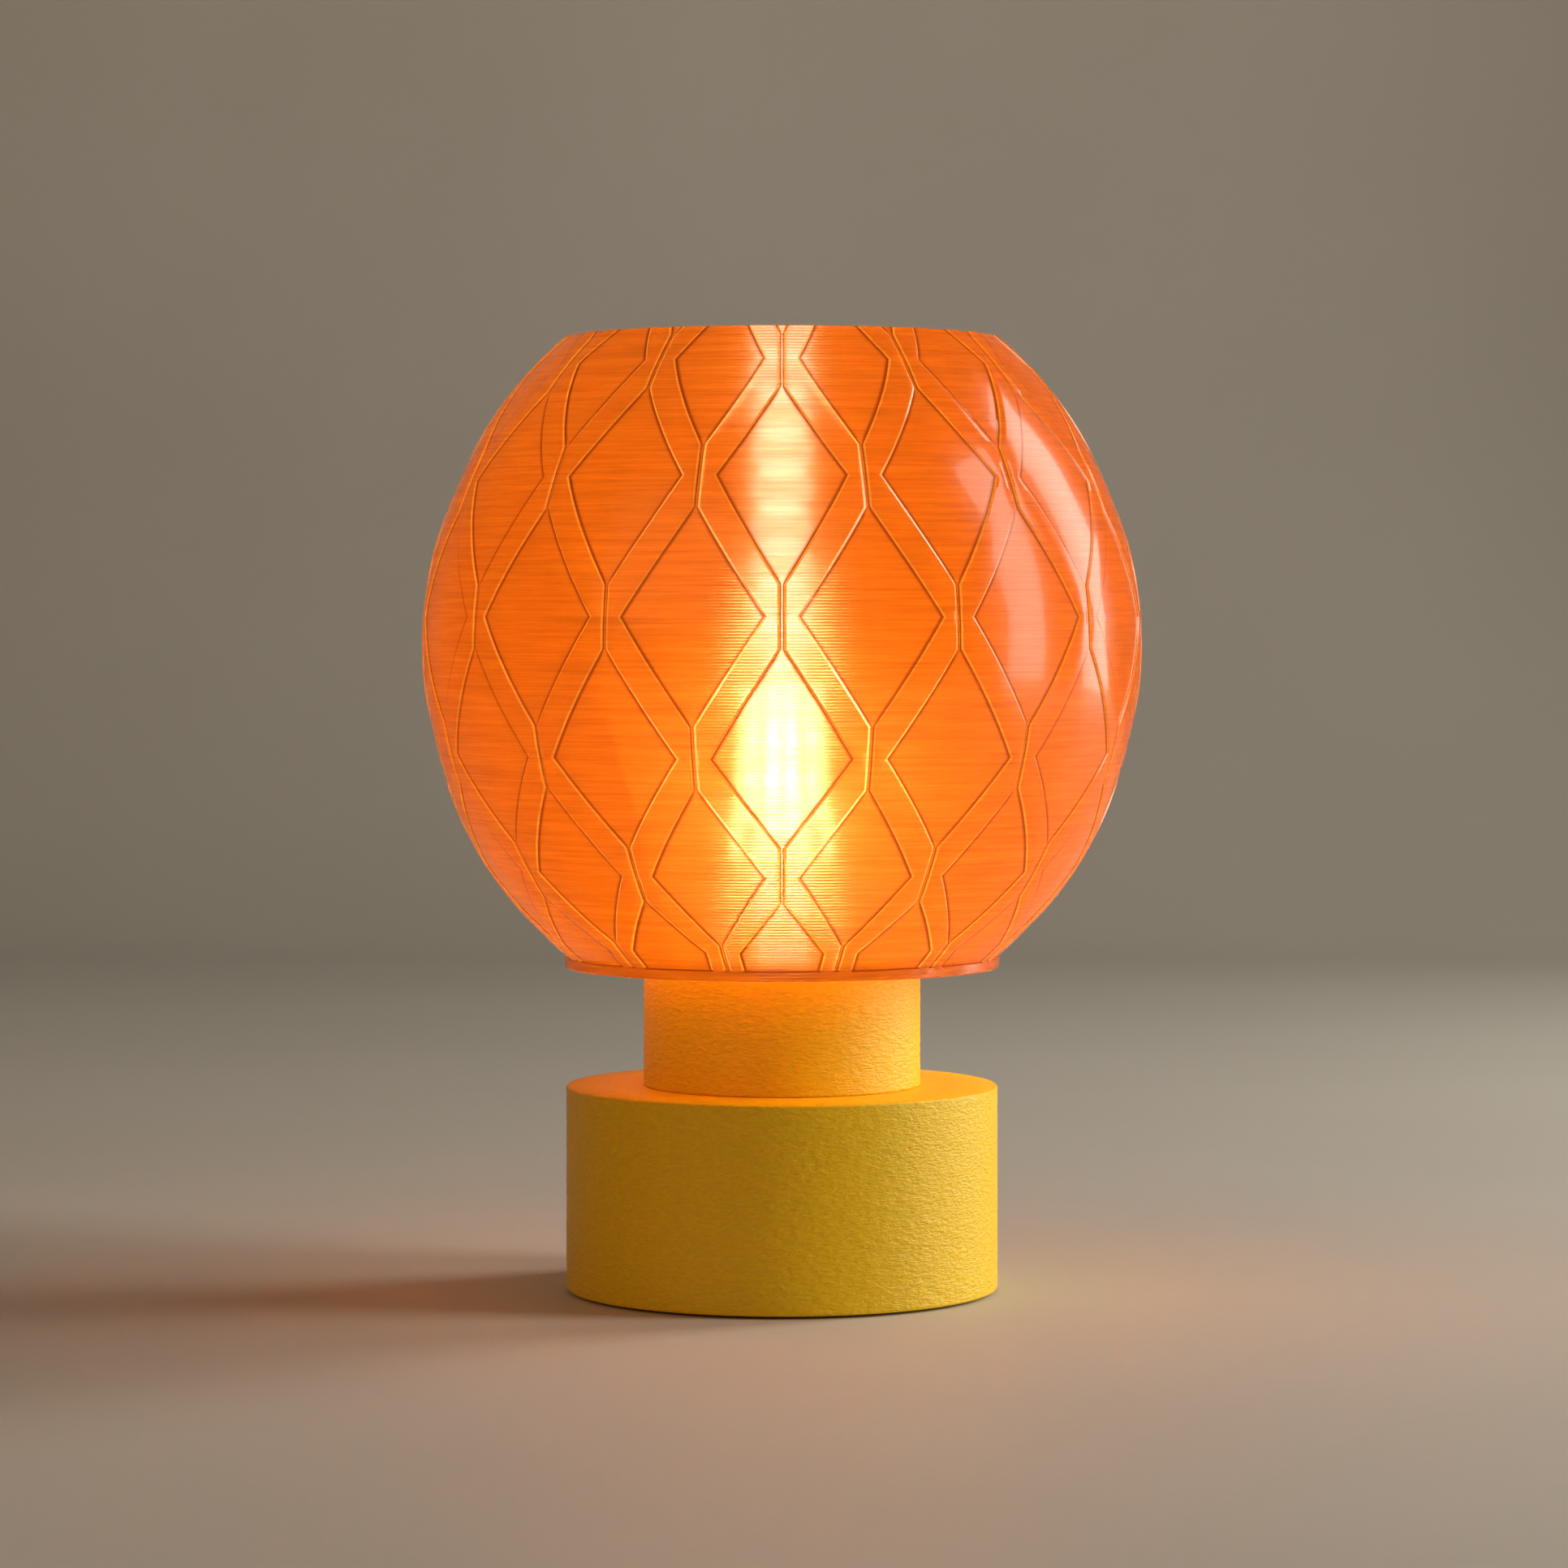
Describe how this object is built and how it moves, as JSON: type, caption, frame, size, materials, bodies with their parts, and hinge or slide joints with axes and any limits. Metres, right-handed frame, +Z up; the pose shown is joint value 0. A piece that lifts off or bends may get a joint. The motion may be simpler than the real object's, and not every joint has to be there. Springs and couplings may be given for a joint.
{
  "type": "globe table lamp",
  "caption": "Printed table lamp: open translucent globe shade with diamond relief on a stepped round base, with a screw-in bulb.",
  "frame": {"origin": "on the table, at the centre of the lamp's bounding box", "axes": "+Z up along the lamp's axis, +Y to the rear where the cord leaves, +X to the right"},
  "size_m": [0.2, 0.2, 0.265],
  "materials": {
    "translucent_orange_petg": "translucent orange PETG, printed, fine horizontal layer lines, glossy",
    "yellow_pla": "yellow PLA, printed with a rippled fuzzy skin on the side walls, smooth tops",
    "yellow_pla_plain": "yellow PLA, smooth printed plate",
    "zinc_steel": "zinc plated",
    "black_rubber": "moulded, matt",
    "white_thermoplastic": "moulded, satin",
    "porcelain": "glazed",
    "nickelled_brass": "nickel plated",
    "brass": "pressed",
    "clear_glass": "clear blown glass",
    "filament_phosphor": "phosphor gel over LED chips, lit",
    "nickel_wire": "drawn wire",
    "black_glass": "fused black glass",
    "solder_tin": "tinned",
    "circuit_board": "solder mask",
    "capacitor_sleeve": "shrink sleeve"
  },
  "bodies": {
    "base": {"base_drum": "yellow_pla", "base_cover": "yellow_pla_plain", "cover_screws": "zinc_steel", "rubber_feet": "black_rubber", "cord_bush": "black_rubber", "neck_tube": "yellow_pla", "neck_screws": "zinc_steel", "holder_skirt": "white_thermoplastic", "shade_ring": "white_thermoplastic", "holder_cap": "white_thermoplastic", "holder_insert": "porcelain", "screw_shell": "nickelled_brass", "centre_contact": "brass", "terminal_screws": "brass"},
    "shade": {"shade_globe": "translucent_orange_petg"},
    "bulb_carrier": {"contact_tip": "solder_tin"},
    "bulb": {"bulb_envelope": "clear_glass", "bulb_stem": "clear_glass", "led_filaments": "filament_phosphor", "filament_frame": "nickel_wire", "bulb_cap": "nickelled_brass", "cap_insulator": "black_glass", "driver_board": "circuit_board", "driver_capacitor": "capacitor_sleeve"}
  },
  "joints": [
    {"name": "shade_lift", "type": "slide", "parent": "base", "child": "shade", "axis": [0, 0, 1], "range_m": [0, 0.2]},
    {"name": "bulb_rise", "type": "slide", "parent": "base", "child": "bulb_carrier", "axis": [0, 0, 1], "range_m": [0, 0.0217]},
    {"name": "bulb_turn", "type": "hinge", "parent": "bulb_carrier", "child": "bulb", "pos_m": [0, 0, 0.1], "axis": [0, 0, 1], "range_deg": [0, 2160]}
  ],
  "couplings": [
    {"joint": "bulb_rise", "follows": "bulb_turn", "m_per_rad": 0.00057296}
  ]
}
